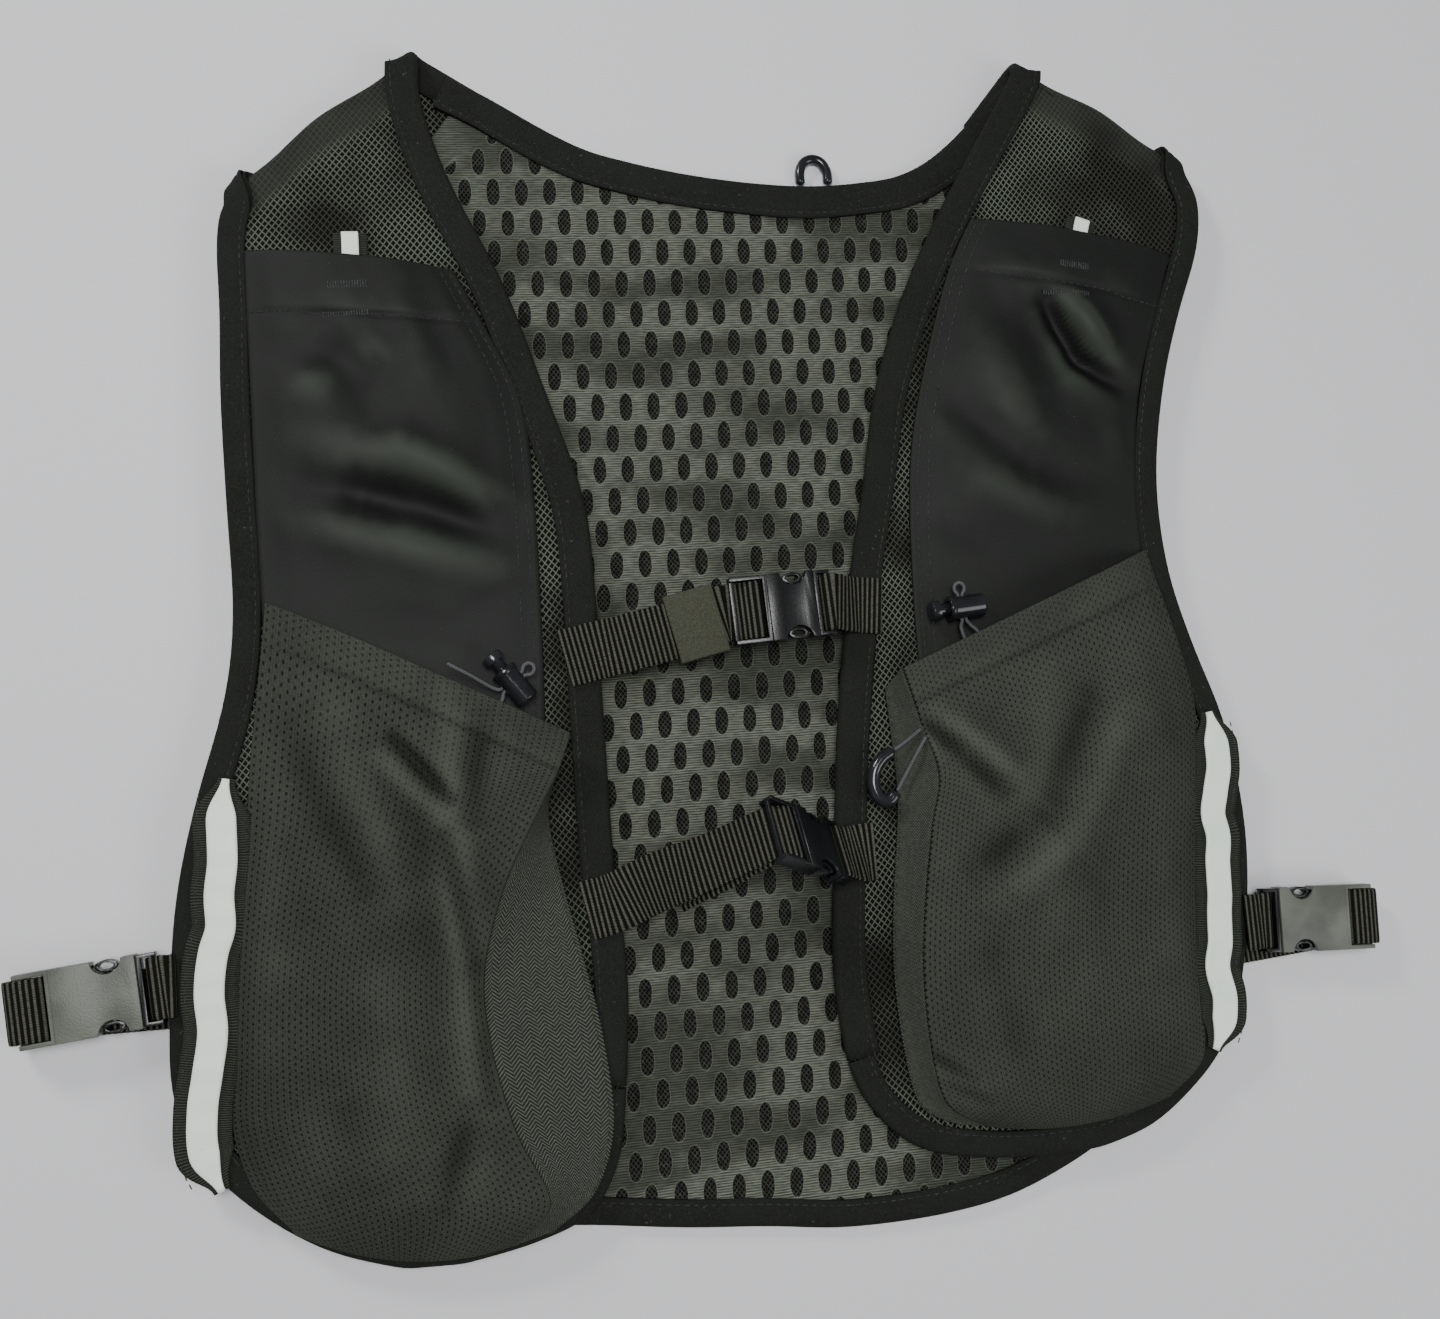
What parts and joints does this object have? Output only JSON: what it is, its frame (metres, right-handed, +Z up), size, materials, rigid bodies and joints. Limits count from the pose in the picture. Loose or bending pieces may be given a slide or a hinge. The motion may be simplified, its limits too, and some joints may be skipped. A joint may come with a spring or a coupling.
{
  "type": "running hydration vest",
  "caption": "Running hydration vest lying flat on its back, with net shoulders, front flask pockets, webbing straps and buckles.",
  "frame": {"origin": "middle of the footprint, on the surface the vest lies on", "axes": "+X to the viewer's right across the chest, +Y to the neck, +Z up from the surface"},
  "size_m": [0.4578, 0.4036, 0.0433],
  "materials": {
    "shoulder_net": "open black net over a plain lining",
    "spacer_mesh": "grey olive spacer fabric with dark ovals",
    "binding": "matt charcoal elastic binding",
    "pocket_cloth": "smooth black stretch cloth",
    "pocket_knit": "charcoal knit with small pinholes",
    "reflective": "pale reflective tape",
    "grosgrain": "dark ribbed grosgrain",
    "webbing": "charcoal woven webbing",
    "buckle_plastic": "fine grained black acetal",
    "lock_plastic": "glossy dark grey",
    "hook_plastic": "glossy black",
    "elastic": "dark grey covered elastic"
  },
  "bodies": {
    "vest": {"front_panel_left": "shoulder_net", "front_panel_right": "shoulder_net", "back_panel": "spacer_mesh", "outer_binding_left": "binding", "outer_binding_right": "binding", "front_binding_left": "binding", "front_binding_right": "binding", "back_binding": "binding", "neck_binding": "binding", "upper_pocket_left": "pocket_cloth", "upper_pocket_right": "pocket_cloth", "bottle_pocket_left": "pocket_knit", "bottle_pocket_right": "pocket_knit", "pocket_gusset_left": "pocket_knit", "pocket_gusset_right": "pocket_knit", "reflective_tape_left": "reflective", "reflective_tape_right": "reflective", "tab_stripe_left": "reflective", "tab_stripe_right": "reflective", "tape_backing_left": "grosgrain", "tape_backing_right": "grosgrain", "pocket_tab_left": "grosgrain", "pocket_tab_right": "grosgrain", "strap_keeper": "webbing", "chest_strap_upper_left": "webbing", "chest_strap_upper_right": "webbing", "chest_strap_upper_doubling": "webbing", "chest_strap_lower_left": "webbing", "chest_strap_lower_right": "webbing", "chest_strap_lower_doubling": "webbing", "side_strap_front_left": "webbing", "side_strap_front_right": "webbing", "side_strap_back_left": "webbing", "side_strap_back_right": "webbing", "side_buckle_left_socket": "buckle_plastic", "side_buckle_left_insert": "buckle_plastic", "side_buckle_right_socket": "buckle_plastic", "side_buckle_right_insert": "buckle_plastic", "chest_buckle_upper_socket": "buckle_plastic", "chest_buckle_upper_insert": "buckle_plastic", "chest_buckle_lower_socket": "buckle_plastic", "chest_buckle_lower_insert": "buckle_plastic", "cord_lock_barrel_left": "lock_plastic", "cord_lock_barrel_right": "lock_plastic", "accessory_hook": "hook_plastic", "neck_hook": "hook_plastic", "pocket_cord_left": "elastic", "pocket_cord_right": "elastic", "hook_cord": "elastic", "hook_cord_upper": "elastic"},
    "plunger_left": {"cord_lock_plunger_left": "lock_plastic"},
    "plunger_right": {"cord_lock_plunger_right": "lock_plastic"}
  },
  "joints": [
    {"name": "cord_lock_left_press", "type": "slide", "parent": "vest", "child": "plunger_left", "axis": [0.6, -0.8, 0], "range_m": [0, 0.003], "stiffness_N_per_m": 300, "springref_m": -0.003},
    {"name": "cord_lock_right_press", "type": "slide", "parent": "vest", "child": "plunger_right", "axis": [0.9968, 0.0797, 0], "range_m": [0, 0.003], "stiffness_N_per_m": 300, "springref_m": -0.003}
  ]
}
